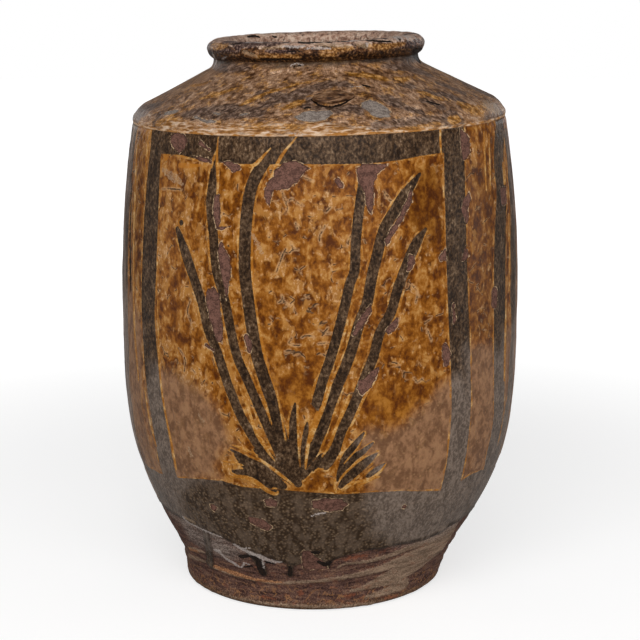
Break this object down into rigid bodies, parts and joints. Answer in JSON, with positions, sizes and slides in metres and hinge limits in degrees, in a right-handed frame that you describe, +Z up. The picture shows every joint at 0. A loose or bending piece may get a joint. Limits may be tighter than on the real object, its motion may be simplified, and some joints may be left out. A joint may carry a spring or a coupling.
{
  "type": "vinegar jar",
  "caption": "Tall barrel-shaped glazed stoneware storage jar with a sloping shoulder, a short neck, a rolled rim and an unglazed foot.",
  "frame": {"origin": "on the floor, under the middle of the belly", "axes": "+Z up through the mouth, -Y towards the side with the painted plant panel, +X to the right of it"},
  "size_m": [0.361, 0.361, 0.4993],
  "materials": {
    "glaze_amber": "glossy mottled amber glaze over cream slip",
    "glaze_dark": "glossy dark olive-brown glaze, speckled",
    "glaze_olive": "glossy streaked olive and amber glaze, worn",
    "clay_rim": "worn glaze with bare pinkish-brown clay on the crest",
    "clay_foot": "unglazed red-brown stoneware with ochre ridges",
    "clay_base": "unglazed red-brown stoneware",
    "clay_lump": "glazed clay lump, striated"
  },
  "bodies": {
    "root": {"base_disc": "clay_base", "foot_wall": "clay_foot", "lower_wall": "glaze_dark", "belly_wall": "glaze_amber", "upper_wall": "glaze_amber", "shoulder": "glaze_olive", "neck": "glaze_olive", "rolled_rim": "clay_rim", "shoulder_lump": "clay_lump"}
  },
  "joints": []
}
